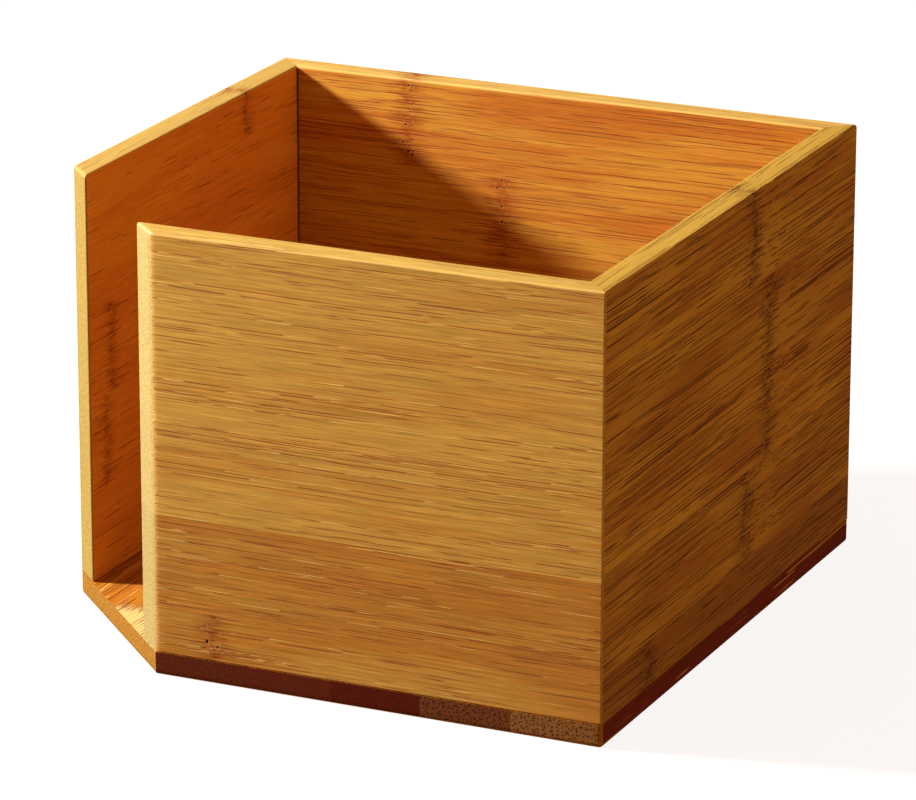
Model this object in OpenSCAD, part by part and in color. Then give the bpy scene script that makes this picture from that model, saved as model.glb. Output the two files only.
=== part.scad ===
// Square desk box of glued bamboo strips: four walls on a base, with one corner cut off at 45 degrees
// so that it stays open from the rim down to the base.
// +X runs to the right along the front wall, the front wall faces -Y, and the underside is at Z = 0.

/* [Box] */
// Outside width and depth of the box
box_w = 110; // [90:1:160]
// Outside height, with the base
box_h = 76; // [50:1:120]
// Thickness of the four walls
wall_t = 5; // [3:0.5:8]
// Thickness of the base under the walls
base_t = 4; // [3:0.5:8]
// Length of each side that the open corner takes away
corner_leg = 30; // [15:1:45]

/* [Strips] */
// Width of a full bamboo strip
strip_w = 16; // [10:0.5:25]

/* [Edges] */
// Radius sanded on the three closed corners
corner_r = 0.5; // [0.5:0.1:2.5]
// Chamfer on both edges of the rim
rim_ease = 0.6; // [0.2:0.1:1.4]
// Chamfer around the underside
foot_ease = 0.5; // [0.2:0.1:1.4]

/* [Hidden] */
$fn = 64;
slack = 1;
half_w = box_w / 2;
wall_h = box_h - base_t;
wall_strips = ceil(wall_h / strip_w);
narrow_wall_strip = wall_h - (wall_strips - 1) * strip_w;
base_strips = ceil(box_w / strip_w);

// Walls in order around the box, each a quarter turn on from the one before
walls = ["front_wall", "right_wall", "back_wall", "left_wall"];
// The wall that has its narrow strip at the rim; the others have it at the base
narrow_at_rim = 3;
wall_colors = [[0.76, 0.55, 0.26], [0.66, 0.44, 0.19], [0.80, 0.56, 0.28], [0.72, 0.47, 0.22]];
base_color = [0.70, 0.46, 0.21];

function strip_node(part, i) = str(part, "_strip_", i);
// Distance from the rim down to the lower edge of strip i, where strip 1 is at the rim
function drop(side, i) =
    side == narrow_at_rim ? narrow_wall_strip + (i - 1) * strip_w : min(i * strip_w, wall_h);

// Plan of the whole box: a square with rounded corners, less the open corner
module box_plan() {
    difference() {
        union() {
            square([box_w, box_w - 2 * corner_r], center = true);
            square([box_w - 2 * corner_r, box_w], center = true);
            for (x = [-1, 1], y = [-1, 1])
                translate([x * (half_w - corner_r), y * (half_w - corner_r)]) circle(r = corner_r);
        }
        translate([-half_w, -half_w])
            polygon([[-slack, -slack], [corner_leg + slack, -slack], [-slack, corner_leg + slack]]);
    }
}

// Plan of one wall, mitred at both ends before the corners are rounded and the open corner is cut
module wall_plan(side) {
    intersection() {
        box_plan();
        rotate(90 * side)
            polygon([
                [-half_w, -half_w], [half_w, -half_w],
                [half_w - wall_t, wall_t - half_w], [wall_t - half_w, wall_t - half_w]
            ]);
    }
}

// A bar along X, of size depth by height, with chamfers on its upper or lower edges
module eased_bar(depth, height, top = 0, bottom = 0) {
    translate([-half_w, 0, 0])
        rotate([90, 0, 90])
            linear_extrude(box_w)
                polygon([
                    [bottom, 0], [depth - bottom, 0], [depth, bottom], [depth, height - top],
                    [depth - top, height], [top, height], [0, height - top], [0, bottom]
                ]);
}

// One strip of a wall, its grain along the wall
module wall_strip(side, i) {
    low = box_h - drop(side, i);
    high = i == 1 ? box_h : box_h - drop(side, i - 1);
    color(wall_colors[side])
        intersection() {
            translate([0, 0, low]) linear_extrude(high - low) wall_plan(side);
            rotate(90 * side)
                translate([0, -half_w, low])
                    eased_bar(wall_t, high - low, top = i == 1 ? rim_ease : 0);
        }
}

// One strip of the base, its grain from front to back; strip 1 is under the right wall
module base_strip(i) {
    high_x = half_w - (i - 1) * strip_w;
    low_x = max(high_x - strip_w, -half_w);
    color(base_color)
        intersection() {
            linear_extrude(base_t)
                intersection() {
                    box_plan();
                    translate([low_x, -half_w]) square([high_x - low_x, box_w]);
                }
            translate([0, -half_w, 0]) eased_bar(box_w, base_t, bottom = foot_ease);
            rotate(90) translate([0, -half_w, 0]) eased_bar(box_w, base_t, bottom = foot_ease);
        }
}

for (side = [0:3])
    for (i = [1:wall_strips])
        wall_strip(side, i);
for (i = [1:base_strips])
    base_strip(i);
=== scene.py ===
import math
import bpy
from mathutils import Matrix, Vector


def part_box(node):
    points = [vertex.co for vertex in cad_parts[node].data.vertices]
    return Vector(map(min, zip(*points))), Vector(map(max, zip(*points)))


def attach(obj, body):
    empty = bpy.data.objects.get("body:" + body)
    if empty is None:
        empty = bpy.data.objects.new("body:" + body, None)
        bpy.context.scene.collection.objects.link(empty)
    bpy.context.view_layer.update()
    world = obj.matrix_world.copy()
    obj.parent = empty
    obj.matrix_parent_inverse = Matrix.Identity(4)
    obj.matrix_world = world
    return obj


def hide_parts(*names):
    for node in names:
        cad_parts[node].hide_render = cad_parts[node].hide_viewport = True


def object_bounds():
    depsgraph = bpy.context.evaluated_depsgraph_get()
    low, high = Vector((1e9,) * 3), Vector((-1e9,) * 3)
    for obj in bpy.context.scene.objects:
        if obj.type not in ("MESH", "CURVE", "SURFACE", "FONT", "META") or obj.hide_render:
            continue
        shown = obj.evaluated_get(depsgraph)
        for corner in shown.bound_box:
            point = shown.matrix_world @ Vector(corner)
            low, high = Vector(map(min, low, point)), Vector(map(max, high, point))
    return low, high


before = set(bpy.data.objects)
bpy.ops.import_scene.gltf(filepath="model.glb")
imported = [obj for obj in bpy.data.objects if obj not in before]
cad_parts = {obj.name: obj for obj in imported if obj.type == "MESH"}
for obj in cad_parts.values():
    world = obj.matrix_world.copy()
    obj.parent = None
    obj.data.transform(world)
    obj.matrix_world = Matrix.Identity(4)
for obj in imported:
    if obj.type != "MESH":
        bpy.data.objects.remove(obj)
cadLow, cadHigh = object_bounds()
print("frame loaded:", len(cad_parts), "strips")

mm = 0.001


def linear(hexColour):
    # sRGB hex to the linear colour that a node socket takes
    channels = [int(hexColour[i : i + 2], 16) / 255 for i in (1, 3, 5)]
    return [c / 12.92 if c <= 0.04045 else ((c + 0.055) / 1.055) ** 2.4 for c in channels] + [1.0]


def addNode(tree, kind, links=None, **settings):
    # links fills the node's live inputs, by name or by place, with a value, a socket or a node
    node = tree.nodes.new(kind)
    for name, value in settings.items():
        setattr(node, name, value)
    live = [socket for socket in node.inputs if socket.enabled]
    items = links.items() if isinstance(links, dict) else enumerate(links or [])
    for key, value in items:
        socket = live[key] if isinstance(key, int) else next(s for s in live if s.name == key)
        if isinstance(value, bpy.types.Node):
            value = next(s for s in value.outputs if s.enabled)
        if isinstance(value, bpy.types.NodeSocket):
            tree.links.new(value, socket)
        elif value is not None:
            socket.default_value = value
    return node


cameraLook = {
    "azimuth": 24.57,  # degrees round from the front, towards the right
    "elevation": 18.0,
    "roll": 0.09,
    "distance": 0.9487,
    "lens": 219.8,
    "sensor": 36,
    "nearest": 0.05,
    "furthest": 20,
    "aimRight": 4.17 * mm,  # the view is centred a little right of the box's centre
    "aimUp": -3.03 * mm,
}


def makeCamera(look):
    turn = math.radians(look["azimuth"])
    rise = math.radians(look["elevation"])
    back = Vector((math.sin(turn) * math.cos(rise), -math.cos(turn) * math.cos(rise), math.sin(rise)))
    right = Vector((0, 0, 1)).cross(back).normalized()
    up = back.cross(right)
    aim = (cadLow + cadHigh) / 2 + right * look["aimRight"] + up * look["aimUp"]
    camera = bpy.data.objects.new("camera", bpy.data.cameras.new("camera"))
    camera.data.lens = look["lens"]
    camera.data.sensor_width = look["sensor"]
    camera.data.clip_start = look["nearest"]
    camera.data.clip_end = look["furthest"]
    camera.location = aim + back * look["distance"]
    facing = (-back).to_track_quat("-Z", "Y").to_matrix()
    tilt = math.radians(look["roll"])
    camera.rotation_euler = (facing @ facing.Rotation(tilt, 3, "Z")).to_euler()
    bpy.context.scene.collection.objects.link(camera)
    bpy.context.scene.camera = camera


studio = {
    "keyFrom": (-1.0, -0.3, 0.56),  # a softbox to the left, 28 degrees up and a little in front
    "keyDistance": 0.8,
    "keySize": 0.095,  # across the softbox, which sets how soft the shadow edges are
    "keyLight": 2.6,  # how bright it makes white paper held square to it
    "keyColour": "#FFFDF8",
    "fill": (0.60, 0.275, 0.070),  # warm light that the room gives back
    "sheen": (0.10, 0.072, 0.040),  # what the lacquer shows of the room
    "backdrop": 1.05,  # white paper behind everything, lit just past full
    "gamma": 0.85,  # below 1, so shade goes deep and warm while lit faces stay bright
}


def makeLight(look):
    softbox = bpy.data.lights.new("softbox", "AREA")
    softbox.shape = "DISK"
    softbox.size = look["keySize"]
    softbox.energy = look["keyLight"] * (math.pi * look["keyDistance"]) ** 2
    softbox.color = linear(look["keyColour"])[:3]
    key = bpy.data.objects.new("softbox", softbox)
    away = Vector(look["keyFrom"]).normalized()
    key.location = (cadLow + cadHigh) / 2 + away * look["keyDistance"]
    key.rotation_euler = away.to_track_quat("Z", "Y").to_euler()
    bpy.context.scene.collection.objects.link(key)

    world = bpy.data.worlds.new("studio")
    bpy.context.scene.world = world
    world.use_nodes = True
    tree = world.node_tree
    tree.nodes.clear()
    path = addNode(tree, "ShaderNodeLightPath")
    fill = addNode(tree, "ShaderNodeBackground", {"Color": (*look["fill"], 1)})
    gloss = addNode(tree, "ShaderNodeBackground", {"Color": (*look["sheen"], 1)})
    paper = addNode(tree, "ShaderNodeBackground", {"Color": (1, 1, 1, 1), "Strength": look["backdrop"]})
    lit = addNode(tree, "ShaderNodeMixShader", [path.outputs["Is Glossy Ray"], fill, gloss])
    seen = addNode(tree, "ShaderNodeMixShader", [path.outputs["Is Camera Ray"], lit, paper])
    addNode(tree, "ShaderNodeOutputWorld", {"Surface": seen})


# painted board: pale and matt, with a little light of its own, as a lit studio table has
table = {
    "half": 4.0,
    "grey": (0.14, 0.14, 0.14, 1),
    "glow": 0.90,
    "grainScale": 900.0,
    "grainDepth": 0.05 * mm,
    "grainStrength": 0.1,
}


def makeFloor(look):
    material = bpy.data.materials.new("painted table board")
    material.use_nodes = True
    tree = material.node_tree
    tree.nodes.clear()
    grain = addNode(tree, "ShaderNodeTexNoise", {"Scale": look["grainScale"], "Detail": 2.0})
    bump = addNode(
        tree,
        "ShaderNodeBump",
        {"Strength": look["grainStrength"], "Distance": look["grainDepth"], "Height": grain.outputs[0]},
    )
    matt = addNode(tree, "ShaderNodeBsdfDiffuse", {"Color": look["grey"], "Normal": bump})
    glow = addNode(tree, "ShaderNodeEmission", {"Color": (1, 1, 1, 1), "Strength": look["glow"]})
    both = addNode(tree, "ShaderNodeAddShader", [matt, glow])
    addNode(tree, "ShaderNodeOutputMaterial", {"Surface": both})

    half = look["half"]
    corners = [(-half, -half, 0), (half, -half, 0), (half, half, 0), (-half, half, 0)]
    mesh = bpy.data.meshes.new("floor")
    mesh.from_pydata(corners, [], [(0, 1, 2, 3)])
    mesh.materials.append(material)
    floor = bpy.data.objects.new("floor", mesh)
    # the table doesn't throw its own light back on the box, as the lamp's shade keeps it off
    floor.visible_diffuse = False
    floor.visible_glossy = False
    bpy.context.scene.collection.objects.link(floor)


makeCamera(cameraLook)
makeLight(studio)
makeFloor(table)
bpy.context.scene.view_settings.view_transform = "Standard"
bpy.context.scene.view_settings.gamma = studio["gamma"]
print("camera, key light and floor made")


# Carbonised bamboo: strips steamed until they turn caramel, glued edge to edge, planed and sanded,
# then given one thin coat of satin lacquer. To the eye: close parallel bundles that are dark or pale
# for a stretch, knots with pits and brown smudges, darker dotted end grain, and a low sheen.
bamboo = {
    "wander": 1.5,  # mm that a bundle can drift sideways over its length
    "waver": 0.27,  # mm of quick waviness
    "bead": 0.16,  # in pitches: how much a bundle's width comes and goes
    "relief": 0.030,  # mm that a pale bundle stands proud or a dark one lies open
    "fibrePitch": 0.16,  # mm, as fine as still shows
    "fibreReach": 40,  # how much longer than wide the fine fibres are
    "crowdRun": 3.2,  # mm between breaks in the bundles beside a knot
    "crowdOver": 0.47,  # the level that a broken bundle's noise must pass to be dark
    "pitDepth": 0.06,  # mm
    "pitColour": "#2A1206",
    "beforeKnot": "#D6C88C",  # pale ground on one side of a knot
    # partly sanded wear, partly a painted highlight along the eased edges
    "wornEdgeAndHighlight": "#EBD3A4",
    # painted shade: the dark line where shade falls in a mitre gap
    "mitreGapShade": "#3A1606",
    "ior": 1.5,
    "specular": 0.32,
    "roughness": (0.46, 0.62),  # of the ground, and of a dark bundle
    "coat": 0.10,
    "coatRoughness": 0.30,
}

# What sets one board from another. Its colours: light and warm are the two ends of the ground, streak
# and paleStreak the dark and pale bundles, narrow the narrow face of a strip, cut the slanting end, end
# and endPale the square ends, and paintedShadeSide the far face, laid over the ground by
# paintedShadeShare as painted shade where the softbox lights that face.
# bundlePitch is in mm; bundleCore is in pitches, full inside the first and gone past the second.
# darkRun and paleRun are how far a dark or pale stretch goes in mm. A lower darkOver or a higher
# paleUnder gives more of them, and dark and pale are how strong they are. streakDepth is how far
# the ground lightens and darkens in fine streaks.
# Knots: knotHalf and knotWobble are in mm, smudge is how brown, pits is the share of cells that have a
# pit, pitSpread is cells per mm, crowd is how far the bundles break up beside it, and paleBefore lays
# paler ground on one side of it. endDots is how dark the bundles show in the end grain.
boards = {
    "front_wall": {
        "light": "#C1A95F",
        "warm": "#B98E46",
        "streak": "#8A3A00",
        "paleStreak": "#DED48C",
        "narrow": "#C8B065",
        "cut": "#AB9E6C",
        "end": "#AB9E6C",
        "endPale": "#AB9E6C",
        "endDots": 0.25,
        "bundlePitch": 0.37,
        "darkRun": 12.0,
        "darkOver": 0.455,
        "paleRun": 34.0,
        "paleUnder": 0.53,
        "dark": 0.74,
        "pale": 0.86,
        "crowd": 0.5,
        "knotHalf": 3.8,
        "knotWobble": 0.8,
        "smudge": 0.55,
        "pits": 1.0,
        "pitSpread": (0.55, 0.05, 0.50),
        "streakDepth": 0.22,
        "paleBefore": 0.0,
        "bundleCore": (0.11, 0.25),
        "paintedShadeSide": "#C1A858",
        "paintedShadeShare": 0.0,
    },
    "right_wall": {
        "light": "#C6AE53",
        "warm": "#B08640",
        "streak": "#5A1E08",
        "paleStreak": "#D8B06A",
        "narrow": "#C4AA55",
        "cut": "#AD985E",
        "end": "#AD985E",
        "endPale": "#AD985E",
        "endDots": 0.25,
        "bundlePitch": 0.30,
        "darkRun": 60.0,
        "darkOver": 0.32,
        "paleRun": 30.0,
        "paleUnder": 0.36,
        "dark": 0.92,
        "pale": 0.35,
        "crowd": 1.0,
        "knotHalf": 4.8,
        "knotWobble": 2.2,
        "smudge": 0.46,
        "pits": 0.0,
        "pitSpread": (0.80, 0.05, 0.74),
        "streakDepth": 0.08,
        "paleBefore": 0.0,
        "bundleCore": (0.15, 0.30),
        "paintedShadeSide": "#C6AE44",
        "paintedShadeShare": 0.0,
    },
    "back_wall": {
        "light": "#C69C44",
        "warm": "#B87830",
        "streak": "#8C3200",
        "paleStreak": "#DDB868",
        "narrow": "#D0B870",
        "cut": "#AD985E",
        "end": "#AD985E",
        "endPale": "#AD985E",
        "endDots": 0.25,
        "bundlePitch": 0.35,
        "darkRun": 16.0,
        "darkOver": 0.42,
        "paleRun": 12.0,
        "paleUnder": 0.40,
        "dark": 0.74,
        "pale": 0.40,
        "crowd": 0.15,
        "knotHalf": 4.0,
        "knotWobble": 0.8,
        "smudge": 0.52,
        "pits": 0.85,
        "pitSpread": (0.80, 0.05, 0.74),
        "streakDepth": 0.14,
        "paleBefore": 0.0,
        "bundleCore": (0.13, 0.27),
        "paintedShadeSide": "#C69C44",
        "paintedShadeShare": 0.0,
    },
    "left_wall": {
        # painted light: this ground is made lighter than the other walls' to stand for the light that
        # the box throws back onto the wall's inner face
        "light": "#ECAD52",
        "warm": "#E19749",
        "streak": "#8C3A14",
        "paleStreak": "#DEAC58",
        "narrow": "#C0A965",
        "cut": "#A28F54",
        "end": "#A28F54",
        "endPale": "#A28F54",
        "endDots": 0.25,
        "bundlePitch": 0.38,
        "darkRun": 14.0,
        "darkOver": 0.60,
        "paleRun": 20.0,
        "paleUnder": 0.32,
        "dark": 0.55,
        "pale": 0.30,
        "crowd": 0.35,
        "knotHalf": 3.0,
        "knotWobble": 1.2,
        "smudge": 0.40,
        "pits": 0.2,
        "pitSpread": (0.80, 0.05, 0.74),
        "streakDepth": 0.10,
        "paleBefore": 0.0,
        "bundleCore": (0.20, 0.32),
        # painted shade: the outer face, lit by the softbox, is painted darker and duller
        "paintedShadeSide": "#A38F50",
        "paintedShadeShare": 0.85,
    },
    "base": {
        "light": "#C08A34",
        "warm": "#A86C22",
        "streak": "#6E3210",
        "paleStreak": "#E2C084",
        # partly the base's own darker side grain, partly painted shade of its shaded right side near
        # the floor
        "narrow": "#7A260C",
        "cut": "#9C7432",
        "end": "#621E0C",
        "endPale": "#8C6A40",
        "endDots": 0.66,
        "bundlePitch": 0.60,
        "darkRun": 40.0,
        "darkOver": 0.48,
        "paleRun": 24.0,
        "paleUnder": 0.46,
        "dark": 0.65,
        "pale": 0.65,
        "crowd": 0.5,
        "knotHalf": 3.0,
        "knotWobble": 1.0,
        "smudge": 0.45,
        "pits": 0.5,
        "pitSpread": (0.80, 0.74, 0.05),
        "streakDepth": 0.20,
        "paleBefore": 0.9,
        "bundleCore": (0.22, 0.33),
        # painted shade: the base's left side, lit by the softbox, is painted darker and browner
        "paintedShadeSide": "#7A5228",
        "paintedShadeShare": 0.85,
    },
}

kinds = {
    "noise": ("ShaderNodeTexNoise", {}),
    "cells": ("ShaderNodeTexVoronoi", {}),
    "cellsAcross": ("ShaderNodeTexVoronoi", {"voronoi_dimensions": "2D"}),
    "ramp": ("ShaderNodeMapRange", {"interpolation_type": "SMOOTHSTEP"}),
    "add": ("ShaderNodeMath", {"operation": "ADD"}),
    "addShare": ("ShaderNodeMath", {"operation": "ADD", "use_clamp": True}),
    "less": ("ShaderNodeMath", {"operation": "SUBTRACT"}),
    "times": ("ShaderNodeMath", {"operation": "MULTIPLY"}),
    "timesPlus": ("ShaderNodeMath", {"operation": "MULTIPLY_ADD"}),
    "size": ("ShaderNodeMath", {"operation": "ABSOLUTE"}),
    "below": ("ShaderNodeMath", {"operation": "LESS_THAN"}),
    "shift": ("ShaderNodeVectorMath", {"operation": "ADD"}),
    "stretch": ("ShaderNodeVectorMath", {"operation": "MULTIPLY"}),
    "scale": ("ShaderNodeVectorMath", {"operation": "SCALE"}),
    "join": ("ShaderNodeCombineXYZ", {}),
    "split": ("ShaderNodeSeparateXYZ", {}),
    "blend": ("ShaderNodeMix", {"data_type": "FLOAT"}),
    "paint": ("ShaderNodeMix", {"data_type": "RGBA"}),
}


def addRows(tree, made, rows):
    # a row is a name, a kind from the list above, and what feeds it: earlier rows by name, or constants
    for name, kind, *feeds in rows:
        nodeType, settings = kinds[kind]
        links = [made[feed] if isinstance(feed, str) else feed for feed in feeds]
        node = addNode(tree, nodeType, links, **settings)
        outputs = [socket for socket in node.outputs if socket.enabled]
        made[name] = outputs[0]
        made.update({name + "." + socket.name: socket for socket in outputs})


def makeBamboo(name, look):
    material = bpy.data.materials.new(name)
    material.use_nodes = True
    tree = material.node_tree
    tree.nodes.clear()
    made = {}
    for attribute, output in (
        ("grain", "Vector"),
        ("tone", "Vector"),
        ("facing", "Vector"),
        ("fromKnot", "Fac"),
        ("wearAndHighlight", "Fac"),
        ("mitreShade", "Fac"),
    ):
        made[attribute] = addNode(tree, "ShaderNodeAttribute", attribute_name=attribute).outputs[output]

    fine = 1 / bamboo["fibrePitch"]
    pitch = 1 / look["bundlePitch"]
    paleUnder = look["paleUnder"]
    streak = look["streakDepth"]
    inner, outer = look["bundleCore"]
    bead = bamboo["bead"]
    addRows(tree, made, [
        # the strip's own millimetres, X along the grain, with the bundles' drift added across it
        ("slowAt", "stretch", "grain", (0.012, 0.10, 0.10)),
        ("slow", "noise", "slowAt", 1.0, 1.0),
        ("slowSide", "shift", "slow.Color", (-0.5, -0.5, -0.5)),
        ("slowDrift", "stretch", "slowSide", (0, bamboo["wander"], bamboo["wander"])),
        ("quickAt", "stretch", "grain", (0.10, 0.6, 0.6)),
        ("quick", "noise", "quickAt", 1.0, 1.0),
        ("quickSide", "shift", "quick.Color", (-0.5, -0.5, -0.5)),
        ("quickDrift", "stretch", "quickSide", (0, bamboo["waver"], bamboo["waver"])),
        ("drift", "shift", "slowDrift", "quickDrift"),
        ("place", "shift", "grain", "drift"),
        ("at", "split", "place"),
        ("fibreAt", "stretch", "place", (fine / bamboo["fibreReach"], fine, fine)),
        ("fibre", "noise", "fibreAt", 1.0, 2.0),
        ("streakAt", "stretch", "place", (0.06, 3.4, 3.4)),
        ("streaks", "noise", "streakAt", 1.0, 3.0, 0.75),
        ("stripeAt", "stretch", "place", (0.014, 1.1, 1.1)),
        ("stripe", "noise", "stripeAt", 1.0, 4.0, 0.75),
        ("mottleAt", "stretch", "grain", (0.025, 0.14, 0.14)),
        ("mottle", "noise", "mottleAt", 1.0, 2.0),
        # millimetres past the knot, which crosses the strip in a wavy line
        ("waveAt", "stretch", "grain", (0.05, 0.30, 0.30)),
        ("wave", "noise", "waveAt", 1.0, 5.0, 0.8),
        ("wobble", "ramp", "wave", 0.25, 0.75, -look["knotWobble"], look["knotWobble"]),
        ("past", "add", "fromKnot", "wobble"),
        ("reach", "size", "past"),
        # each bundle takes up and loses the knot's brown at its own distance
        ("jag", "ramp", "streaks", 0.3, 0.7, -2.4, 2.4),
        ("jagged", "add", "past", "jag"),
        ("jagReach", "size", "jagged"),
        ("inKnot", "ramp", "jagReach", 0.4, look["knotHalf"], 1.0, 0.0),
        ("seamJag", "timesPlus", "jag", 0.35, "past"),
        ("seamReach", "size", "seamJag"),
        ("inSeam", "ramp", "seamReach", 0.3, 1.3, 1.0, 0.0),
        ("inPits", "ramp", "reach", 0.9, 1.7, 1.0, 0.0),
        ("crowdStart", "ramp", "past", -6.0, -1.0),
        ("crowdEnd", "ramp", "past", 7.0, 22.0, look["crowd"], 0.0),
        ("crowd", "times", "crowdStart", "crowdEnd"),
        # bundles are rods along the grain, each dark or pale for a stretch, and broken up past a knot
        ("across", "join", "at.Y", "at.Z"),
        ("rodAt", "stretch", "across", (pitch, pitch, 0)),
        ("rod", "cellsAcross", "rodAt", 1.0),
        ("lot", "split", "rod.Color"),
        ("lotA", "times", "lot.X", 57.0),
        ("lotB", "times", "lot.Y", 57.0),
        ("widen", "ramp", "reach", 0.0, 5.0, 0.07, 0.0),
        ("beaded", "timesPlus", "fibre", bead, "rod.Distance"),
        ("near", "less", "beaded", "widen"),
        ("line", "ramp", "near", inner + bead / 2, outer + bead / 2, 1.0, 0.0),
        ("darkStep", "times", "at.X", 1 / look["darkRun"]),
        ("darkAt", "join", "darkStep", "lotA", "lotB"),
        ("darkLong", "noise", "darkAt", 1.0, 2.0),
        ("shortStep", "times", "at.X", 1 / bamboo["crowdRun"]),
        ("shortAt", "join", "shortStep", "lotB", "lotA"),
        ("darkShort", "noise", "shortAt", 1.0, 1.0),
        ("darkWave", "blend", "crowd", "darkLong", "darkShort"),
        ("darkLevel", "blend", "crowd", look["darkOver"], bamboo["crowdOver"]),
        ("darkSpare", "less", "darkWave", "darkLevel"),
        ("darkOn", "ramp", "darkSpare", -0.01, 0.05),
        ("dark", "times", "line", "darkOn"),
        ("paleStep", "times", "at.X", 1 / look["paleRun"]),
        ("paleAt", "join", "paleStep", "lotB", "lotA"),
        ("paleWave", "noise", "paleAt", 1.0, 2.0),
        ("paleOn", "ramp", "paleWave", paleUnder + 0.01, paleUnder - 0.05, 0.0, 1.0),
        ("paleLine", "times", "line", "paleOn"),
        ("notDark", "less", 1.0, "darkOn"),
        ("paleBundle", "times", "paleLine", "notDark"),
        # ground colour, warmer in broad stripes, with the narrow face of a strip in its own colour
        ("toned", "split", "tone"),
        ("faced", "split", "facing"),
        ("stripeMottle", "add", "stripe", "mottle"),
        ("stripes", "ramp", "stripeMottle", 0.75, 1.25),
        ("warmth", "addShare", "stripes", "toned.Y"),
        ("mixed", "paint", "warmth", linear(look["light"]), linear(look["warm"])),
        ("before", "ramp", "jagged", -1.0, 1.0, look["paleBefore"], 0.0),
        ("ground", "paint", "before", "mixed", linear(bamboo["beforeKnot"])),
        ("narrowShare", "ramp", "faced.Z", 0.5, 0.9),
        ("plain", "paint", "narrowShare", "ground", linear(look["narrow"])),
        # painted shade over the far face, which the softbox lights
        ("paintedShadeShare", "ramp", "faced.Y", 0.5, 0.9, 0.0, look["paintedShadeShare"]),
        ("sided", "paint", "paintedShadeShare", "plain", linear(look["paintedShadeSide"])),
        ("streakLight", "ramp", "streaks", 0.25, 0.75, 1 - streak, 1 + streak),
        ("streaked", "scale", "sided", "streakLight"),
        ("sideDark", "ramp", "faced.Z", 0.5, 0.9, look["dark"], 0.8 * look["dark"]),
        ("darkShare", "times", "dark", "sideDark"),
        ("withDark", "paint", "darkShare", "streaked", linear(look["streak"])),
        ("paleShare", "times", "paleBundle", look["pale"]),
        ("withPale", "paint", "paleShare", "withDark", linear(look["paleStreak"])),
        # the knot: a brown smudge, a dark broken seam, pits, and a pale spot round each pit
        ("blotAt", "stretch", "grain", (0.5, 0.9, 0.9)),
        ("blot", "noise", "blotAt", 1.0, 3.0, 0.6),
        ("blotShare", "ramp", "blot", 0.35, 0.6, 0.35 * look["smudge"], look["smudge"]),
        ("smudge", "times", "blotShare", "inKnot"),
        ("smudged", "paint", "smudge", "withPale", linear(look["streak"])),
        ("crackAt", "stretch", "grain", (1.1, 1.5, 1.5)),
        ("crack", "noise", "crackAt", 1.0, 2.0),
        ("crackOn", "ramp", "crack", 0.46, 0.62, 0.10, 0.85),
        ("crackLine", "ramp", "rod.Distance", 0.26, 0.55, 1.0, 0.22),
        ("crackMark", "times", "crackOn", "crackLine"),
        ("seamMark", "times", "crackMark", "inSeam"),
        ("seamed", "paint", "seamMark", "smudged", linear(look["streak"])),
        ("pitAt", "stretch", "grain", look["pitSpread"]),
        ("pitCell", "cells", "pitAt", 1.0),
        ("pitLot", "split", "pitCell.Color"),
        ("isPit", "below", "pitLot.X", look["pits"]),
        ("pitHere", "times", "isPit", "inPits"),
        ("spot", "ramp", "pitCell.Distance", 0.20, 0.42, 0.22, 0.0),
        ("spotHere", "times", "spot", "pitHere"),
        ("spotted", "paint", "spotHere", "seamed", linear(look["paleStreak"])),
        ("pitCore", "ramp", "pitCell.Distance", 0.12, 0.23, 1.0, 0.0),
        ("pit", "times", "pitCore", "pitHere"),
        ("pitted", "paint", "pit", "spotted", linear(bamboo["pitColour"])),
        # end grain, on the slanting cut and on the square ends, where the bundles show as dots
        ("endGround", "paint", "toned.Z", linear(look["end"]), linear(look["endPale"])),
        ("squareShare", "ramp", "faced.X", 0.72, 0.92),
        ("cutGround", "paint", "squareShare", linear(look["cut"]), "endGround"),
        ("dotSquare", "ramp", "toned.Z", 0.0, 0.4, 0.35 * look["endDots"], look["endDots"]),
        ("dotDepth", "blend", "squareShare", 0.28, "dotSquare"),
        ("dotDark", "times", "line", "dotDepth"),
        ("dotLight", "less", 1.0, "dotDark"),
        ("gritAt", "stretch", "grain", (1.2, 2.4, 2.4)),
        ("grit", "noise", "gritAt", 1.0, 2.0),
        ("gritLight", "ramp", "grit", 0.3, 0.7, 0.88, 1.12),
        ("endLight", "times", "dotLight", "gritLight"),
        ("dotted", "scale", "cutGround", "endLight"),
        ("endShare", "ramp", "faced.X", 0.15, 0.50),
        ("ended", "paint", "endShare", "pitted", "dotted"),
        # the finest fibres, the strip's own lightness, paler sanded edges with a painted highlight on
        # them, and painted shade in the mitre gaps
        ("fibreLight", "ramp", "fibre", 0.2, 0.8, 0.90, 1.10),
        ("allLight", "times", "fibreLight", "toned.X"),
        ("lit", "scale", "ended", "allLight"),
        # eased edges painted paler: sanded wear and a painted highlight
        ("wearAndHighlightShare", "ramp", "wearAndHighlight", 0.02, 0.28, 0.0, 0.14),
        ("wornAndHighlighted", "paint", "wearAndHighlightShare", "lit", linear(bamboo["wornEdgeAndHighlight"])),
        # painted shade darkens the ground towards a mitre gap, most on the inside of the box
        ("mitreShadeShare", "ramp", "mitreShade", 0.0, 0.9, 0.0, 0.85),
        ("colour", "paint", "mitreShadeShare", "wornAndHighlighted", linear(bamboo["mitreGapShade"])),
        # relief in millimetres: pale bundles stand proud, dark ones lie open, pits are sunk
        ("standing", "less", "paleBundle", "dark"),
        ("flatEnd", "ramp", "faced.X", 0.15, 0.50, 1.0, 0.15),
        ("proud", "times", "standing", "flatEnd"),
        ("fibreHeight", "times", "fibre", 0.006),
        ("bundleHeight", "timesPlus", "proud", bamboo["relief"], "fibreHeight"),
        ("height", "timesPlus", "pit", -bamboo["pitDepth"], "bundleHeight"),
        ("roughness", "ramp", "dark", 0.0, 1.0, *bamboo["roughness"]),
    ])
    bump = addNode(tree, "ShaderNodeBump", {"Strength": 1.0, "Distance": mm, "Height": made["height"]})
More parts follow.
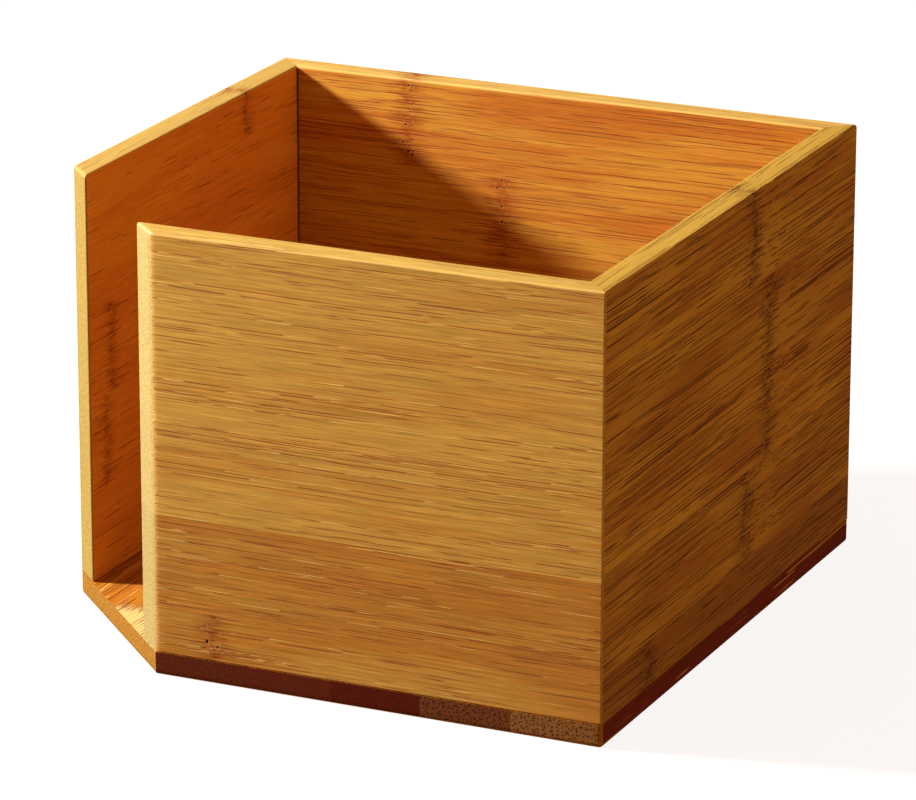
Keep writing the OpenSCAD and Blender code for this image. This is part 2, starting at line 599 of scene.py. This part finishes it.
    shader = addNode(
        tree,
        "ShaderNodeBsdfPrincipled",
        {
            "Base Color": made["colour"],
            "Roughness": made["roughness"],
            "IOR": bamboo["ior"],
            "Specular IOR Level": bamboo["specular"],
            "Coat Weight": bamboo["coat"],
            "Coat Roughness": bamboo["coatRoughness"],
            "Normal": bump,
        },
    )
    addNode(tree, "ShaderNodeOutputMaterial", {"Surface": shader})
    return material


half = cadHigh.x
low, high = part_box("front_wall_strip_1")
wallDepth = high.y - low.y
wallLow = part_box("base_strip_1")[1].z
cornerLeg = low.x - cadLow.x + wallDepth

stripShape = {
    "edgeSteps": 4,  # rows of faces across each eased edge
    "stepsAlong": 60,
    "wallSteps": (6, 14),  # rows through a wall strip, and up it
    "baseSteps": (14, 5),
    "edgeBand": 0.45 * mm,  # the rows' width along an edge that isn't eased
    "rimEase": 0.5 * mm,
    "endEase": 1.0 * mm,
    "footEase": 0.8 * mm,
    "footGap": 0.3 * mm,  # the walls' lower edges are just broken, where they stand on the base
    "cornerRadius": 0.5 * mm,
    "swell": 0.04,  # mm that the sanded face waves and dips
    "swellScale": (0.03, 0.12, 0.16),  # waves per mm along, through and up the strip
    "crispAngle": 35,  # degrees, past which an edge is shaded sharp
    "mitreShadeInside": 0.40 * mm,  # how far the painted shade of the mitre gap shows from an inner corner
    "mitreShadeOutside": 0.14 * mm,
    "mitreShadeOutsideShare": 0.25,  # and how strong it is on the outside
    "seedStep": (211.0, 37.3, 53.9),  # mm between one strip's pattern and the next one's
}
touching = 1 * mm  # nearer than this, two places count as one


def stripTree():
    tree = bpy.data.node_groups.new("bambooStrip", "GeometryNodeTree")
    face = tree.interface
    sizes = ("Depth", "Low", "High", "Across", "Start At", "Start Slope", "End At", "End Slope")
    others = ("Half", "Corner Radius", "Turn", "Knot At", "Seed", "Swell", "Start Mitred", "End Mitred")
    for name in sizes + others:
        face.new_socket(name, in_out="INPUT", socket_type="NodeSocketFloat")
    for name in ("Ease Low", "Ease High", "Narrow Side", "Painted Shade Side", "Tone"):
        face.new_socket(name, in_out="INPUT", socket_type="NodeSocketVector")
    for name in ("Steps Along", "Steps Across", "Steps Up", "Edge Steps"):
        face.new_socket(name, in_out="INPUT", socket_type="NodeSocketInt")
    face.new_socket("Material", in_out="INPUT", socket_type="NodeSocketMaterial")
    face.new_socket("Geometry", in_out="OUTPUT", socket_type="NodeSocketGeometry")
    given = addNode(tree, "NodeGroupInput").outputs

    # a grid block, each side a unit long, with edge rows and middle rows
    counts = []
    bands = []
    for name in ("Steps Along", "Steps Across", "Steps Up"):
        total = addNode(
            tree, "ShaderNodeMath", [given["Edge Steps"], 2.0, given[name]], operation="MULTIPLY_ADD"
        )
        counts.append(addNode(tree, "ShaderNodeMath", [total, 1.0], operation="ADD"))
        bands.append(addNode(tree, "ShaderNodeMath", [given["Edge Steps"], total], operation="DIVIDE"))
    block = addNode(
        tree,
        "GeometryNodeMeshCube",
        {"Size": (1, 1, 1), "Vertices X": counts[0], "Vertices Y": counts[1], "Vertices Z": counts[2]},
    )
    band = addNode(tree, "ShaderNodeCombineXYZ", bands)
    bandEnd = addNode(tree, "ShaderNodeVectorMath", [(1, 1, 1), band], operation="SUBTRACT")
    unit = addNode(
        tree,
        "ShaderNodeVectorMath",
        [addNode(tree, "GeometryNodeInputPosition"), (0.5, 0.5, 0.5)],
        operation="ADD",
    )

    # spread the rows: the edge rows take the eased width, the middle rows take the rest
    tall = addNode(tree, "ShaderNodeMath", [given["High"], given["Low"]], operation="SUBTRACT")
    startLine = [given["Start Slope"], given["Across"], given["Start At"]]
    startOut = addNode(tree, "ShaderNodeMath", startLine, operation="MULTIPLY_ADD")
    endLine = [given["End Slope"], given["Across"], given["End At"]]
    endOut = addNode(tree, "ShaderNodeMath", endLine, operation="MULTIPLY_ADD")
    long = addNode(tree, "ShaderNodeMath", [endOut, startOut], operation="SUBTRACT")
    size = addNode(tree, "ShaderNodeCombineXYZ", [long, given["Depth"], tall])
    leastRow = (stripShape["edgeBand"],) * 3
    rowLow = addNode(tree, "ShaderNodeVectorMath", [given["Ease Low"], leastRow], operation="MAXIMUM")
    rowHigh = addNode(tree, "ShaderNodeVectorMath", [given["Ease High"], leastRow], operation="MAXIMUM")
    rowsBoth = addNode(tree, "ShaderNodeVectorMath", [rowLow, rowHigh], operation="ADD")
    middle = addNode(tree, "ShaderNodeVectorMath", [size, rowsBoth], operation="SUBTRACT")
    place = None
    rows = (((0, 0, 0), band, rowLow), (band, bandEnd, middle), (bandEnd, (1, 1, 1), rowHigh))
    for start, end, width in rows:
        part = addNode(tree, "ShaderNodeMapRange", data_type="FLOAT_VECTOR")
        live = [socket for socket in part.inputs if socket.enabled]
        for socket, value in zip(live, (unit, start, end, (0, 0, 0), width)):
            if isinstance(value, bpy.types.Node):
                tree.links.new(value.outputs[0], socket)
            else:
                socket.default_value = value
        stretched = next(s for s in part.outputs if s.enabled)
        if place is None:
            place = stretched
        else:
            place = addNode(tree, "ShaderNodeVectorMath", [place, stretched], operation="ADD")

    # round the eased edges: pull the edge rows onto an ellipse about the flat core
    coreEnd = addNode(tree, "ShaderNodeVectorMath", [size, given["Ease High"]], operation="SUBTRACT")
    above = addNode(tree, "ShaderNodeVectorMath", [place, given["Ease Low"]], operation="MAXIMUM")
    inner = addNode(tree, "ShaderNodeVectorMath", [above, coreEnd], operation="MINIMUM")
    beyond = addNode(tree, "ShaderNodeVectorMath", [place, inner], operation="SUBTRACT")
    bothEases = [given["Ease Low"], given["Ease High"]]
    eases = addNode(tree, "ShaderNodeVectorMath", bothEases, operation="MAXIMUM")
    eases = addNode(tree, "ShaderNodeVectorMath", [eases, (1e-6, 1e-6, 1e-6)], operation="MAXIMUM")
    share = addNode(tree, "ShaderNodeVectorMath", [beyond, eases], operation="DIVIDE")
    share = addNode(tree, "ShaderNodeVectorMath", [share], operation="ABSOLUTE")
    parts = addNode(tree, "ShaderNodeSeparateXYZ", [share]).outputs
    most = addNode(tree, "ShaderNodeMath", [parts[0], parts[1]], operation="MAXIMUM")
    most = addNode(tree, "ShaderNodeMath", [most, parts[2]], operation="MAXIMUM")
    reach = addNode(tree, "ShaderNodeVectorMath", [share], operation="LENGTH").outputs["Value"]
    reach = addNode(tree, "ShaderNodeMath", [reach, 1e-6], operation="MAXIMUM")
    pull = addNode(tree, "ShaderNodeMath", [most, reach], operation="DIVIDE")
    flat = addNode(tree, "ShaderNodeMath", [reach, 1e-5], operation="LESS_THAN")
    pull = addNode(tree, "ShaderNodeMath", [pull, flat], operation="MAXIMUM")
    pulled = addNode(tree, "ShaderNodeVectorMath", {0: beyond, "Scale": pull}, operation="SCALE")
    rounded = addNode(tree, "ShaderNodeVectorMath", [inner, pulled], operation="ADD")
    # how far out on an eased edge a point is, which the material paints pale as wear and painted
    # highlight
    wearAndHighlight = addNode(tree, "ShaderNodeMath", [1.0, pull], operation="SUBTRACT")

    # put the ends on their mitre, cut or square planes
    axes = addNode(tree, "ShaderNodeSeparateXYZ", [rounded]).outputs
    across = addNode(tree, "ShaderNodeMath", [axes[1], given["Across"]], operation="ADD")
    startLine[1] = across  # the same lines, now at each point's own depth
    start = addNode(tree, "ShaderNodeMath", startLine, operation="MULTIPLY_ADD")
    endLine[1] = across
    end = addNode(tree, "ShaderNodeMath", endLine, operation="MULTIPLY_ADD")
    along = addNode(
        tree,
        "ShaderNodeMapRange",
        {"Value": axes[0], "From Min": 0.0, "From Max": long, "To Min": start, "To Max": end},
        clamp=False,
    )
    up = addNode(tree, "ShaderNodeMath", [axes[2], given["Low"]], operation="ADD")

    # round the box's closed corners in plan
    halfAndRadius = [given["Half"], given["Corner Radius"]]
    flatHalf = addNode(tree, "ShaderNodeMath", halfAndRadius, operation="SUBTRACT")
    plan = addNode(tree, "ShaderNodeCombineXYZ", [along, across, 0.0])
    planHalf = addNode(tree, "ShaderNodeCombineXYZ", [flatHalf, flatHalf, 1.0])
    sign = addNode(tree, "ShaderNodeVectorMath", [plan], operation="SIGN")
    far = addNode(tree, "ShaderNodeVectorMath", [plan], operation="ABSOLUTE")
    core = addNode(tree, "ShaderNodeVectorMath", [far, planHalf], operation="MINIMUM")
    out = addNode(tree, "ShaderNodeVectorMath", [far, core], operation="SUBTRACT")
    outParts = addNode(tree, "ShaderNodeSeparateXYZ", [out]).outputs
    outMost = addNode(tree, "ShaderNodeMath", [outParts[0], outParts[1]], operation="MAXIMUM")
    outReach = addNode(tree, "ShaderNodeVectorMath", [out], operation="LENGTH").outputs["Value"]
    outReach = addNode(tree, "ShaderNodeMath", [outReach, 1e-7], operation="MAXIMUM")
    outPull = addNode(tree, "ShaderNodeMath", [outMost, outReach], operation="DIVIDE")
    outPulled = addNode(tree, "ShaderNodeVectorMath", {0: out, "Scale": outPull}, operation="SCALE")
    cornered = addNode(tree, "ShaderNodeVectorMath", [core, outPulled], operation="ADD")
    signed = addNode(tree, "ShaderNodeVectorMath", [cornered, sign], operation="MULTIPLY")
    planParts = addNode(tree, "ShaderNodeSeparateXYZ", [signed]).outputs
    shaped = addNode(tree, "ShaderNodeCombineXYZ", [planParts[0], planParts[1], up])
    cornerWearAndHighlight = addNode(tree, "ShaderNodeMath", [1.0, outPull], operation="SUBTRACT")
    inCorner = addNode(tree, "ShaderNodeMath", [outMost, 1e-6], operation="GREATER_THAN")
    cornerWearAndHighlight = addNode(tree, "ShaderNodeMath", [cornerWearAndHighlight, inCorner], operation="MULTIPLY")
    allWearAndHighlight = addNode(tree, "ShaderNodeMath", [wearAndHighlight, cornerWearAndHighlight], operation="MAXIMUM")

    # how near a point is to a mitre, for the painted shade of the mitre gap, which shows wider on the
    # inside of the box
    insideAt = addNode(tree, "ShaderNodeMath", [given["Depth"], 0.05 * mm], operation="SUBTRACT")
    inside = addNode(tree, "ShaderNodeMath", [axes[1], insideAt], operation="GREATER_THAN")
    mitreShadeWidth = addNode(
        tree,
        "ShaderNodeMapRange",
        {"Value": inside, "To Min": stripShape["mitreShadeOutside"], "To Max": stripShape["mitreShadeInside"]},
    )
    mitreShadeStrength = addNode(
        tree,
        "ShaderNodeMapRange",
        {"Value": inside, "To Min": stripShape["mitreShadeOutsideShare"], "To Max": 1.0},
    )
    mitreShade = None
    gaps = ((start, along, given["Start Mitred"]), (along, end, given["End Mitred"]))
    for left, right, mitred in gaps:
        gap = addNode(tree, "ShaderNodeMath", [right, left], operation="SUBTRACT")
        gap = addNode(tree, "ShaderNodeMath", [gap, mitreShadeWidth], operation="DIVIDE")
        close = addNode(tree, "ShaderNodeMath", [1.0, gap], operation="SUBTRACT", use_clamp=True)
        close = addNode(tree, "ShaderNodeMath", [close, mitred], operation="MULTIPLY")
        close = addNode(tree, "ShaderNodeMath", [close, mitreShadeStrength], operation="MULTIPLY")
        if mitreShade is None:
            mitreShade = close
        else:
            mitreShade = addNode(tree, "ShaderNodeMath", [mitreShade, close], operation="MAXIMUM")

    # what the material reads: millimetres in the strip, distance from the knot, worn edges with their
    # painted highlight, painted mitre shade, tone
    millimetres = addNode(tree, "ShaderNodeVectorMath", {0: shaped, "Scale": 1000.0}, operation="SCALE")
    seedStep = {0: stripShape["seedStep"], "Scale": given["Seed"]}
    seedShift = addNode(tree, "ShaderNodeVectorMath", seedStep, operation="SCALE")
    grain = addNode(tree, "ShaderNodeVectorMath", [millimetres, seedShift], operation="ADD")
    alongMm = addNode(tree, "ShaderNodeMath", [planParts[0], 1000.0], operation="MULTIPLY")
    fromKnot = addNode(tree, "ShaderNodeMath", [alongMm, given["Knot At"]], operation="SUBTRACT")
    geometry = block.outputs["Mesh"]
    for name, value, kind in (
        ("grain", grain, "FLOAT_VECTOR"),
        ("fromKnot", fromKnot, "FLOAT"),
        ("wearAndHighlight", allWearAndHighlight, "FLOAT"),
        ("mitreShade", mitreShade, "FLOAT"),
        ("tone", given["Tone"], "FLOAT_VECTOR"),
    ):
        geometry = addNode(
            tree,
            "GeometryNodeStoreNamedAttribute",
            {"Geometry": geometry, "Name": name, "Value": value},
            data_type=kind,
            domain="POINT",
        ).outputs[0]
    placed = {"Geometry": geometry, "Position": shaped}
    geometry = addNode(tree, "GeometryNodeSetPosition", placed).outputs[0]

    normal = addNode(tree, "GeometryNodeInputNormal").outputs[0]
    normalParts = addNode(tree, "ShaderNodeSeparateXYZ", [normal]).outputs
    narrowSide = [normal, given["Narrow Side"]]
    narrow = addNode(tree, "ShaderNodeVectorMath", narrowSide, operation="DOT_PRODUCT")
    # the far face's share, which the material covers with painted shade
    paintedShadeSide = [normal, given["Painted Shade Side"]]
    other = addNode(tree, "ShaderNodeVectorMath", paintedShadeSide, operation="DOT_PRODUCT")
    other = addNode(tree, "ShaderNodeMath", [other.outputs["Value"], 0.0], operation="MAXIMUM")
    facing = addNode(tree, "ShaderNodeCombineXYZ", [normalParts[0], other, narrow.outputs["Value"]])
    facing = addNode(tree, "ShaderNodeVectorMath", [facing], operation="ABSOLUTE")
    geometry = addNode(
        tree,
        "GeometryNodeStoreNamedAttribute",
        {"Geometry": geometry, "Name": "facing", "Value": facing},
        data_type="FLOAT_VECTOR",
        domain="FACE",
    ).outputs[0]

    # the sanded faces wave and dip a little, always inwards
    stored = addNode(
        tree,
        "GeometryNodeInputNamedAttribute",
        {"Name": "grain"},
        data_type="FLOAT_VECTOR",
    ).outputs[0]
    swellAt = [stored, stripShape["swellScale"]]
    waveAt = addNode(tree, "ShaderNodeVectorMath", swellAt, operation="MULTIPLY")
    waves = {"Vector": waveAt, "Scale": 1.0, "Detail": 2.0}
    wave = addNode(tree, "ShaderNodeTexNoise", waves).outputs[0]
    faceOn = addNode(tree, "ShaderNodeMath", [normalParts[1]], operation="ABSOLUTE")
    faceOn = addNode(tree, "ShaderNodeMath", [faceOn, 0.98], operation="GREATER_THAN")
    dip = addNode(tree, "ShaderNodeMath", [wave, given["Swell"]], operation="MULTIPLY")
    dip = addNode(tree, "ShaderNodeMath", [dip, faceOn], operation="MULTIPLY")
    dip = addNode(tree, "ShaderNodeMath", [dip, -mm], operation="MULTIPLY")
    inward = addNode(tree, "ShaderNodeVectorMath", {0: normal, "Scale": dip}, operation="SCALE")
    moved = {"Geometry": geometry, "Offset": inward}
    geometry = addNode(tree, "GeometryNodeSetPosition", moved).outputs[0]

    # soft shading on the eased edges, and crisp on the ones that aren't
    geometry = addNode(
        tree,
        "GeometryNodeSetShadeSmooth",
        {0: geometry, "Shade Smooth": True},
        domain="FACE",
    ).outputs[0]
    angle = addNode(tree, "GeometryNodeInputMeshEdgeAngle").outputs["Unsigned Angle"]
    crispAngle = math.radians(stripShape["crispAngle"])
    crisp = addNode(tree, "ShaderNodeMath", [angle, crispAngle], operation="GREATER_THAN")
    geometry = addNode(
        tree,
        "GeometryNodeSetShadeSmooth",
        {0: geometry, "Selection": crisp, "Shade Smooth": False},
        domain="EDGE",
    ).outputs[0]
    turn = addNode(tree, "ShaderNodeCombineXYZ", [0.0, 0.0, given["Turn"]])
    turned = {"Geometry": geometry, "Rotation": turn}
    geometry = addNode(tree, "GeometryNodeTransform", turned).outputs[0]
    geometry = addNode(tree, "GeometryNodeRealizeInstances", {"Geometry": geometry}).outputs[0]
    geometry = addNode(
        tree,
        "GeometryNodeSetMaterial",
        {"Geometry": geometry, "Material": given["Material"]},
    ).outputs[0]
    addNode(tree, "NodeGroupOutput", {"Geometry": geometry})
    return tree


def makeStrip(tree, name, values):
    holder = bpy.data.objects.new(name + "_maker", bpy.data.meshes.new(name + "_maker"))
    bpy.context.scene.collection.objects.link(holder)
    modifier = holder.modifiers.new("strip", "NODES")
    modifier.node_group = tree
    for item in tree.interface.items_tree:
        if item.in_out == "INPUT":
            modifier[item.identifier] = values[item.name]
    evaluated = holder.evaluated_get(bpy.context.evaluated_depsgraph_get())
    mesh = bpy.data.meshes.new_from_object(evaluated)
    bpy.data.objects.remove(holder)
    mesh.name = name
    strip = bpy.data.objects.new(name, mesh)
    bpy.context.scene.collection.objects.link(strip)
    return strip


# Where each strip's knot crosses it, in mm from the box's middle along the strip, and how it is toned:
# lightness, extra warmth, and how pale its end grain is; on the walls this is partly painted shade. The
# strips not named here have no knot.
knots = {
    "front_wall_strip_5": -14.3,
    "right_wall_strip_1": 7.7,
    "right_wall_strip_2": 15.3,
    "right_wall_strip_3": 14.8,
    "right_wall_strip_4": 5.5,
    "right_wall_strip_5": -36.1,
    "back_wall_strip_1": 28.1,
    "back_wall_strip_2": 9.8,
    "left_wall_strip_1": -30.0,
    "left_wall_strip_3": 21.7,
    "left_wall_strip_4": 24.0,
    "base_strip_6": -37.2,
}
stripTonesAndShade = {
    # front wall: the strips' own tones with painted shade as well, lighter and more olive at the top,
    # darker and warmer lower down
    "front_wall_strip_1": (1.0, -0.55, 0.0),
    "front_wall_strip_2": (1.0, -0.50, 0.0),
    "front_wall_strip_3": (0.97, -0.35, 0.0),
    "front_wall_strip_4": (0.91, 0.55, 0.0),
    "front_wall_strip_5": (0.93, 0.25, 0.0),
    # right wall: painted shade, darker and warmer towards the bottom
    "right_wall_strip_1": (1.0, 0.0, 0.0),
    "right_wall_strip_2": (0.96, 0.1, 0.0),
    "right_wall_strip_4": (0.92, 0.2, 0.0),
    "right_wall_strip_5": (0.78, 0.6, 0.0),
    "base_strip_1": (1.0, 0.1, 1.0),
    "base_strip_2": (1.0, 0.15, 0.42),
    "base_strip_3": (0.95, 0.2, 0.0),
    "base_strip_4": (1.0, 0.1, 0.08),
    "base_strip_5": (0.95, 0.2, 0.12),
    "base_strip_6": (1.0, 0.0, 0.3),
    "base_strip_7": (1.0, 0.2, 0.2),
}
noKnot = -1000.0


def stripValues(node, side, seed):
    # the strip's own frame has x along the grain and is a number of quarter turns from the box's
    low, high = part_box(node)
    ease = stripShape["rimEase"]
    values = {
        "Low": low.z,
        "High": high.z,
        "Half": half,
        "Corner Radius": stripShape["cornerRadius"],
        "Knot At": knots.get(node, noKnot),
        "Seed": float(seed),
        "Narrow Side": (0.0, 1.0, 0.0) if side is None else (0.0, 0.0, 1.0),
        "Painted Shade Side": (0.0, 1.0, 0.0) if side is None else (0.0, -1.0, 0.0),
        "Swell": stripShape["swell"],
        "Start Mitred": 0.0,
        "End Mitred": 0.0,
        "Tone": stripTonesAndShade.get(node, (1.0, 0.0, 0.0)),
        "Steps Along": stripShape["stepsAlong"],
        "Steps Across": stripShape["wallSteps"][0],
        "Steps Up": stripShape["wallSteps"][1],
        "Edge Steps": stripShape["edgeSteps"],
    }
    cutAt = cornerLeg - 2 * half
    if side is None:
        across = -high.x
        atCut = low.x < cadLow.x + cornerLeg - touching
        foot = stripShape["footEase"]
        values.update(
            {
                "Turn": math.pi / 2,
                "Across": across,
                "Depth": high.x - low.x,
                "Start At": cutAt if atCut else -half,
                "Start Slope": 1.0 if atCut else 0.0,
                "End At": half,
                "End Slope": 0.0,
                "Ease Low": (foot, foot if across < -half + touching else 0.0, foot),
                "Ease High": (foot, foot if -low.x > half - touching else 0.0, 0.0),
                "Steps Across": stripShape["baseSteps"][0],
                "Steps Up": stripShape["baseSteps"][1],
                "Swell": 0.0,
            }
        )
        return values
    atRim = node.endswith("_1")
    atFoot = low.z < wallLow + touching
    openStart = side == 0
    openEnd = side == 3
    startEase = stripShape["endEase"] if openStart else 0.0
    endEase = stripShape["endEase"] if openEnd else 0.0
    values.update(
        {
            "Start Mitred": 0.0 if openStart else 1.0,
            "End Mitred": 0.0 if openEnd else 1.0,
            "Turn": side * math.pi / 2,
            "Across": -half,
            "Depth": wallDepth,
            "Start At": cutAt if openStart else 0.0,
            "Start Slope": -1.0 if openStart else 1.0,
            "End At": -cutAt if openEnd else 0.0,
            "End Slope": 1.0 if openEnd else -1.0,
            "Ease Low": (startEase, ease, stripShape["footGap"] if atFoot else 0.0),
            "Ease High": (endEase, ease, ease if atRim else 0.0),
        }
    )
    return values


tree = stripTree()
wallSides = {"front_wall": 0, "right_wall": 1, "back_wall": 2, "left_wall": 3}
seed = 0
for board, look in boards.items():
    material = makeBamboo("carbonised bamboo " + board, look)
    side = wallSides.get(board)
    for node in sorted(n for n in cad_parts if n.startswith(board + "_strip_")):
        seed += 1
        values = stripValues(node, side, seed)
        values["Material"] = material
        strip = makeStrip(tree, node.replace("_strip_", "_bamboo_"), values)
        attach(strip, "root")
        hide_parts(node)
    print(board, "made")
